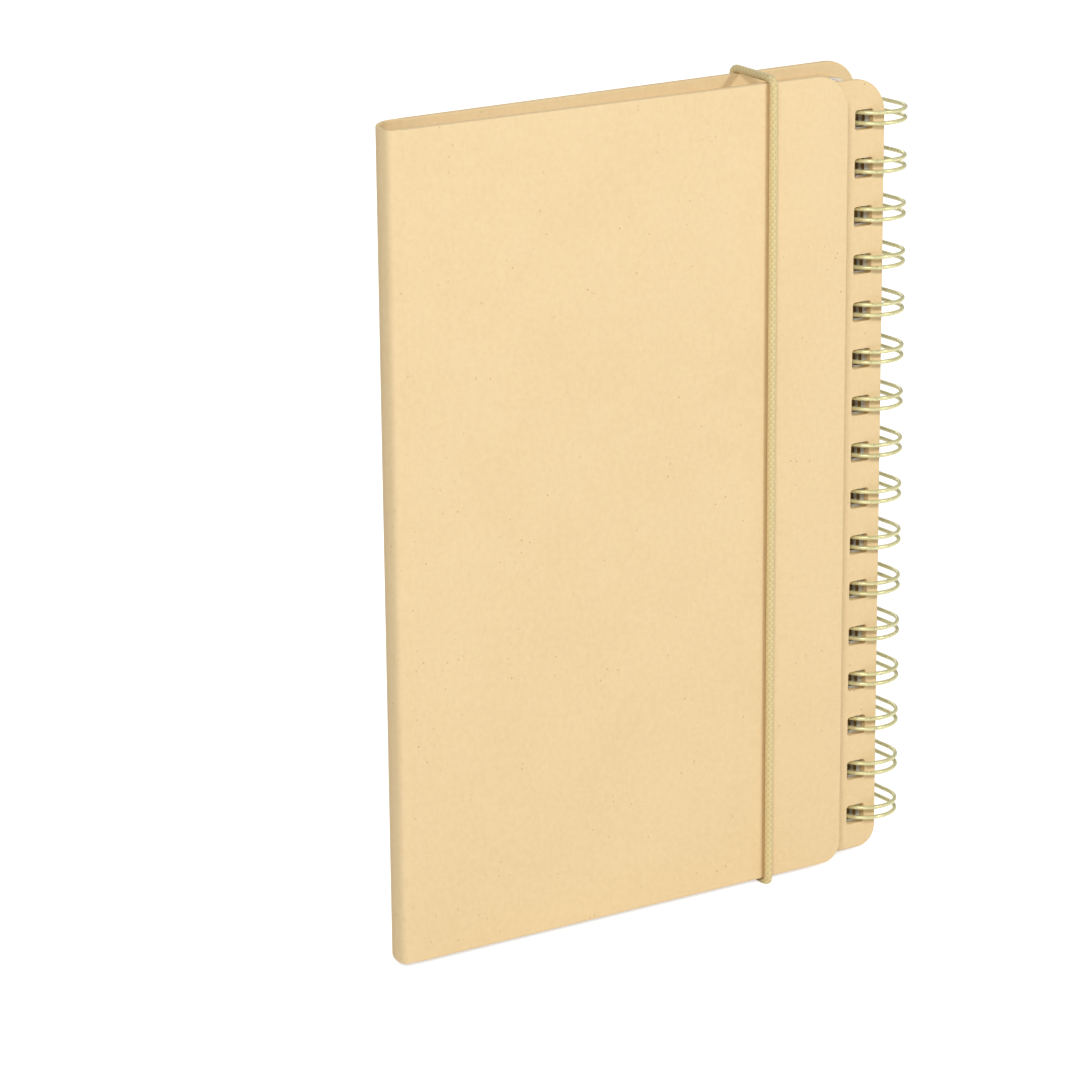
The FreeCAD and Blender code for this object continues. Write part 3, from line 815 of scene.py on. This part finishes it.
def make_elastic():
    steps = even_points(elastic_route(), 0.17 * MM)
    around = 24
    verts, heights = [], []
    for index, (point, distance) in enumerate(steps):
        before = steps[max(0, index - 1)][0]
        after = steps[min(len(steps) - 1, index + 1)][0]
        heading = (after - before).normalized()
        side = Vector((heading.y, -heading.x))
        share = min(1, max(0, (point.x - cord_front_y) / (cord_back_y - cord_front_y)))
        cord_x = cord_front_x + CORD_SLANT * share
        for k in range(around):
            angle = 2 * math.pi * k / around
            height = braid(distance, angle)
            radius = CORD_RADIUS * (1 - BRAID_HEIGHT + BRAID_HEIGHT * height)
            across = math.cos(angle) * radius
            out = math.sin(angle) * radius
            y = point.x + side.x * out
            z = point.y + side.y * out
            pressed = smooth_step(cover_low - z, 0, 1.2 * MM)
            verts.append((cord_x + across * (1 + 0.22 * pressed), y, max(z, 0)))
            heights.append(height)
    count = len(steps)
    faces, corners = [], []
    for i in range(count - 1):
        for k in range(around):
            n = (k + 1) % around
            faces.append((i * around + k, i * around + n, (i + 1) * around + n, (i + 1) * around + k))
            u0, u1 = k / around, (k + 1) / around
            d0, d1 = steps[i][1], steps[i + 1][1]
            corners += [(u0, d0), (u1, d0), (u1, d1), (u0, d1)]
    faces.append(tuple(range(around))[::-1])
    corners += [(0, 0)] * around
    faces.append(tuple((count - 1) * around + k for k in range(around)))
    corners += [(0, 0)] * around
    mesh = bpy.data.meshes.new("braided_elastic")
    mesh.from_pydata(verts, [], faces)
    layer = mesh.uv_layers.new(name="cord")
    layer.data.foreach_set("uv", [c for pair in corners for c in pair])
    mesh.attributes.new("weave", "FLOAT", "POINT").data.foreach_set("value", heights)
    mesh.update()
    shell = bmesh.new()
    shell.from_mesh(mesh)
    bmesh.ops.recalc_face_normals(shell, faces=shell.faces)
    shell.to_mesh(mesh)
    shell.free()
    return add_object("braided_elastic", mesh, ELASTIC)


elastic = make_elastic()
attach(elastic, "back_cover")
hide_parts("elastic_band")
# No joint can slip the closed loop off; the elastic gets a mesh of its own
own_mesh(elastic)


# Pages, pads of note paper and page flags, sheet by sheet
def stack_tree():
    """A sheet in, a stack of such sheets out: each a little out of line, with gaps between groups."""
    tree = bpy.data.node_groups.new("sheet_stack", "GeometryNodeTree")
    face = tree.interface
    face.new_socket("Geometry", in_out="INPUT", socket_type="NodeSocketGeometry")
    for name, kind in (("Sheet Count", "Int"), ("Sheet Step", "Float"), ("Group Size", "Float"),
                       ("Group Step", "Vector"), ("Stray", "Float"), ("Seed", "Int"),
                       ("Place", "Vector"), ("Turn", "Float"), ("Finish", "Material")):
        face.new_socket(name, in_out="INPUT", socket_type="NodeSocket" + kind)
    face.new_socket("Geometry", in_out="OUTPUT", socket_type="NodeSocketGeometry")
    link = tree.links.new
    given = tree.nodes.new("NodeGroupInput")
    result = tree.nodes.new("NodeGroupOutput")

    def add(kind, **settings):
        made = tree.nodes.new(kind)
        for name, value in settings.items():
            setattr(made, name, value)
        return made

    def calculate(operation, a, b=None):
        made = add("ShaderNodeMath", operation=operation)
        for socket, value in zip(made.inputs, (a, b)):
            if isinstance(value, bpy.types.NodeSocket):
                link(value, socket)
            elif value is not None:
                socket.default_value = value
        return made.outputs[0]

    def vector(**sockets):
        made = add("ShaderNodeCombineXYZ")
        for axis, socket in sockets.items():
            link(socket, made.inputs[axis])
        return made.outputs["Vector"]

    row = add("GeometryNodeMeshLine")
    link(given.outputs["Sheet Count"], row.inputs["Count"])
    link(vector(Y=given.outputs["Sheet Step"]), row.inputs["Offset"])
    group = calculate("FLOOR", calculate("DIVIDE", add("GeometryNodeInputIndex").outputs["Index"],
                                         given.outputs["Group Size"]))
    spaced = add("GeometryNodeSetPosition")
    link(row.outputs["Mesh"], spaced.inputs["Geometry"])
    stepped = add("ShaderNodeVectorMath", operation="SCALE")
    link(given.outputs["Group Step"], stepped.inputs["Vector"])
    link(group, stepped.inputs["Scale"])
    link(stepped.outputs["Vector"], spaced.inputs["Offset"])
    wander = add("FunctionNodeRandomValue", data_type="FLOAT_VECTOR")
    stray = given.outputs["Stray"]
    back = calculate("MULTIPLY", stray, -1.0)
    link(vector(X=back, Z=back), wander.inputs["Min"])
    link(vector(X=stray, Z=stray), wander.inputs["Max"])
    link(given.outputs["Seed"], wander.inputs["Seed"])
    strayed = add("GeometryNodeSetPosition")
    link(spaced.outputs["Geometry"], strayed.inputs["Geometry"])
    link(wander.outputs["Value"], strayed.inputs["Offset"])
    spread = add("GeometryNodeInstanceOnPoints")
    link(strayed.outputs["Geometry"], spread.inputs["Points"])
    link(given.outputs["Geometry"], spread.inputs["Instance"])
    real = add("GeometryNodeRealizeInstances")
    link(spread.outputs["Instances"], real.inputs["Geometry"])
    move = add("GeometryNodeTransform")
    link(real.outputs["Geometry"], move.inputs["Geometry"])
    link(given.outputs["Place"], move.inputs["Translation"])
    link(vector(Z=given.outputs["Turn"]), move.inputs["Rotation"])
    paint = add("GeometryNodeSetMaterial")
    link(move.outputs["Geometry"], paint.inputs["Geometry"])
    link(given.outputs["Finish"], paint.inputs["Material"])
    link(paint.outputs["Geometry"], result.inputs["Geometry"])
    return tree


def rounded_ring(centre, width, height, radii, steps):
    """Points round a rectangle; radii are for the lower left corner and then round from there."""
    points = []
    corners = ((-1, -1, 180), (1, -1, 270), (1, 1, 0), (-1, 1, 90))
    for (sx, sy, start), radius in zip(corners, radii):
        x = centre[0] + sx * (width / 2 - radius)
        y = centre[1] + sy * (height / 2 - radius)
        for step in range(steps + 1):
            angle = math.radians(start + 90 * step / steps)
            points.append((x + radius * math.cos(angle), y + radius * math.sin(angle)))
    return points


def sheet_object(name, width, height, radii, thick, holes=(), creases=()):
    """One closed sheet in the XZ plane round the origin, with rounded corners, holes and lines to bend at."""
    mesh = bmesh.new()
    edges = []
    outlines = [rounded_ring((0, 0), width, height, radii, 6)]
    outlines += [rounded_ring(hole, HOLE_WIDTH, HOLE_HEIGHT, [HOLE_CORNER] * 4, 3) for hole in holes]
    for outline in outlines:
        verts = [mesh.verts.new((x, -thick / 2, z)) for x, z in outline]
        edges += [mesh.edges.new((a, b)) for a, b in zip(verts, verts[1:] + verts[:1])]
    bmesh.ops.triangle_fill(mesh, use_beauty=True, edges=edges)
    moved = bmesh.ops.extrude_face_region(mesh, geom=mesh.faces[:])
    lifted = [v for v in moved["geom"] if isinstance(v, bmesh.types.BMVert)]
    bmesh.ops.translate(mesh, verts=lifted, vec=(0, thick, 0))
    for x in creases:
        parts = mesh.verts[:] + mesh.edges[:] + mesh.faces[:]
        bmesh.ops.bisect_plane(mesh, geom=parts, plane_co=(x, 0, 0), plane_no=(1, 0, 0))
    bmesh.ops.recalc_face_normals(mesh, faces=mesh.faces)
    data = bpy.data.meshes.new(name)
    mesh.to_mesh(data)
    mesh.free()
    return add_object(name, data, smooth=False)


STACK = stack_tree()


def fan_out(mesh, first_y, pitch, bend_x):
    """Lean the groups of sheets towards the flap past bend_x, the first one the most."""
    slope = math.tan(LEAN * FAN_SHARE)
    last = PAGE_GROUPS - 1
    for vert in mesh.vertices:
        group = min(last, max(0, int((vert.co.y - first_y + 0.9 * GROUP_GAP) / pitch)))
        past = vert.co.x - bend_x
        if past < BEND_WIDTH:
            past = max(0, past + BEND_WIDTH) ** 2 / (4 * BEND_WIDTH)
        vert.co.y -= past * slope * (last - group) / last


def make_pages():
    """Groups of sheets that fan out towards the wire, with a dark brown card in front of each but the first;
    the cards' dark tone is painted shade for the gaps between groups.
    """
    low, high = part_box("page_block")
    width = high.x - low.x - 2 * PAD_INSET
    height = high.z - low.z - 2 * PAD_INSET
    centre_x = (low.x + high.x) / 2
    centre_z = (low.z + high.z) / 2
    group_thick = (high.y - low.y - (PAGE_GROUPS - 1) * GROUP_GAP) / PAGE_GROUPS
    sheet_step = group_thick / GROUP_SHEETS
    pitch = group_thick + GROUP_GAP
    bend_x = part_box("inner_flap")[0].x
    holes = [(hole_x - centre_x, cover_low + HOLE_LOW + loop * PITCH - centre_z) for loop in range(LOOPS)]
    creases = [bend_x - centre_x + BEND_WIDTH * share for share in (-1, -0.5, 0, 0.5, 1)]
    sheet = sheet_object("page", width, height, PAGE_CORNERS, sheet_step * 0.82, holes, creases)
    pages = apply_tree(sheet, STACK, {
        "Sheet Count": PAGE_GROUPS * GROUP_SHEETS, "Sheet Step": sheet_step,
        "Group Size": float(GROUP_SHEETS), "Group Step": (-GROUP_SHIFT, GROUP_GAP, 0),
        "Stray": PAD_INSET, "Seed": 11, "Place": (centre_x, low.y + sheet_step / 2, centre_z),
        "Turn": 0.0, "Finish": PAPER}, "planner_pages")
    # Dark cards in the gaps between groups, standing for the shade there
    card = sheet_object("card", width, height, PAGE_CORNERS, CARD_THICK, holes, creases)
    shade_cards = apply_tree(card, STACK, {
        "Sheet Count": PAGE_GROUPS - 1, "Sheet Step": 0.0, "Group Size": 1.0,
        "Group Step": (-GROUP_SHIFT, pitch, 0), "Stray": 0.0, "Seed": 3,
        "Place": (centre_x - GROUP_SHIFT, low.y + pitch - CARD_THICK * 0.6, centre_z),
        "Turn": 0.0, "Finish": SHADE_CARD}, "shade_card_sheets")
    for piece in (pages, shade_cards):
        fan_out(piece.data, low.y, pitch, bend_x)
        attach(piece, "back_cover")
        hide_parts("page_block")


def make_pads():
    crease = Vector((front_hinge.x, front_hinge.y, 0)) - into_cover * hinge_sink
    for seed, (node, (colour, deep)) in enumerate(NOTE_COLOURS.items()):
        low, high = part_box(node)
        height = high.z - low.z - 2 * PAD_INSET
        layer = LINER_FACE + PAD_THICK / 2
        along = ((low.x + high.x) / 2 - crease.x - layer * math.sin(LEAN)) / math.cos(LEAN)
        step = PAD_THICK / PAD_SHEETS
        first = crease + along_cover * along + into_cover * (LINER_FACE + step / 2)
        first.z = (low.z + high.z) / 2
        sheet = sheet_object("note", PAD_WIDTH - 2 * PAD_INSET, height, [0.3 * MM] * 4, step * 0.85)
        pad = apply_tree(sheet, STACK, {
            "Sheet Count": PAD_SHEETS, "Sheet Step": step, "Group Size": float(PAD_SHEETS),
            "Group Step": (0, 0, 0), "Stray": PAD_INSET * 0.7, "Seed": seed,
            "Place": first, "Turn": -LEAN,
            "Finish": note_paper(node + "_paper", colour, deep)}, node + "_sheets")
        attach(pad, "front_cover")
        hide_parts(node)


make_pages()
make_pads()


# Floor, light and background
def add_stage():
    finish = Finish("pale_floor", 0.9)
    finish.colour(linear(243, 243, 243))
    path = finish.node("ShaderNodeLightPath")
    seen = finish.math("MAXIMUM", path.outputs["Is Camera Ray"], finish.math(
        "MAXIMUM", path.outputs["Is Glossy Ray"], path.outputs["Is Transmission Ray"]))
    glow = finish.node("ShaderNodeEmission", {"Strength": finish.math("MULTIPLY", seen, FLOOR_GLOW)})
    both = finish.node("ShaderNodeAddShader", {
        0: finish.shader.outputs["BSDF"], 1: glow.outputs["Emission"]})
    output = finish.tree.nodes["Material Output"]
    finish.tree.links.new(both.outputs[0], output.inputs["Surface"])
    mesh = bpy.data.meshes.new("floor")
    reach = 6.0
    mesh.from_pydata([(-reach, -reach, 0), (reach, -reach, 0), (reach, reach, 0), (-reach, reach, 0)],
                     [], [(0, 1, 2, 3)])
    floor = add_object("floor", mesh, finish.material, smooth=False)

    world = bpy.data.worlds.new("studio")
    bpy.context.scene.world = world
    world.use_nodes = True
    back = world.node_tree.nodes["Background"]
    light_path = world.node_tree.nodes.new("ShaderNodeLightPath")
    strength = world.node_tree.nodes.new("ShaderNodeMapRange")
    strength.inputs["To Min"].default_value = WORLD_LIGHT
    strength.inputs["To Max"].default_value = 1.0
    world.node_tree.links.new(light_path.outputs["Is Camera Ray"], strength.inputs["Value"])
    world.node_tree.links.new(strength.outputs["Result"], back.inputs["Strength"])
    back.inputs["Color"].default_value = (1, 1, 1, 1)


def add_lamp(name, place, aim, power, wide):
    data = bpy.data.lights.new(name, "AREA")
    data.energy = power
    data.size = wide
    lamp = bpy.data.objects.new(name, data)
    bpy.context.scene.collection.objects.link(lamp)
    lamp.location = place
    lamp.rotation_euler = (Vector(aim) - Vector(place)).to_track_quat("-Z", "Y").to_euler()


add_stage()
for lamp_name, lamp_place, lamp_power, lamp_size in (
        ("key", (-1.0, -1.1, 1.0), 9.9, 0.3),
        ("fill", (0.62, -1.35, 0.9), 7.0, 0.14),
        ("back", (0.6, 1.6, 0.9), 4.0, 0.5)):
    add_lamp(lamp_name, lamp_place, (0, 0, 0.1), lamp_power, lamp_size)

bpy.context.scene.view_settings.view_transform = "Standard"
